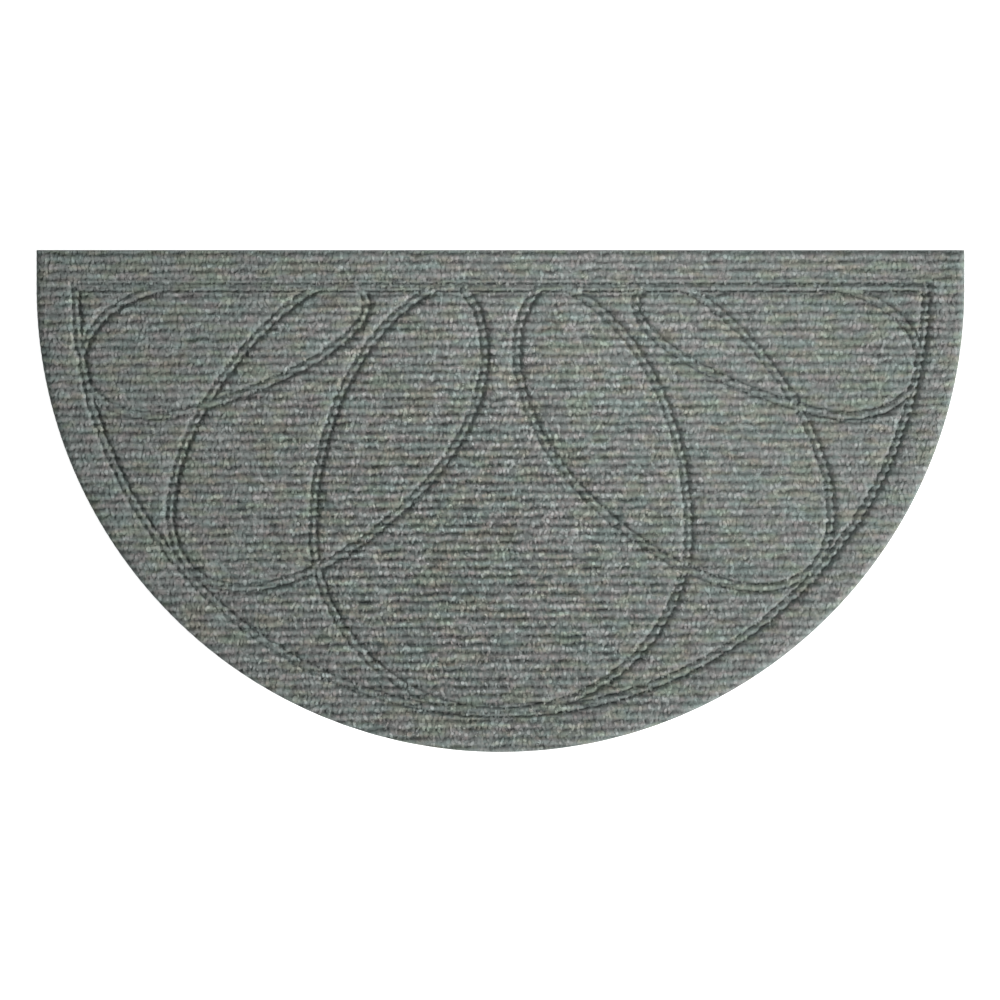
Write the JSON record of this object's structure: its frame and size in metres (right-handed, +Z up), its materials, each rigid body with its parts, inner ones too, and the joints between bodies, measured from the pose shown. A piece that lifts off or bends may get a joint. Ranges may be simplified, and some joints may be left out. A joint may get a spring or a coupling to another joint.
{
  "type": "half round doormat",
  "caption": "Half round doormat of ribbed needle-punched carpet, with a pressed border line and overlapping pressed petals.",
  "frame": {"origin": "middle of the underside's bounding rectangle, on the floor", "axes": "+X along the straight edge, +Y towards the straight edge, +Z up out of the ribbed face"},
  "size_m": [0.838, 0.453, 0.0075],
  "materials": {
    "ribbed_carpet": "matt needle-punched fibre carpet, slate grey heather with brown and pale flecks, ribbed, with heat-pressed lines"
  },
  "bodies": {
    "root": {"ribbed_mat": "ribbed_carpet"}
  },
  "joints": []
}
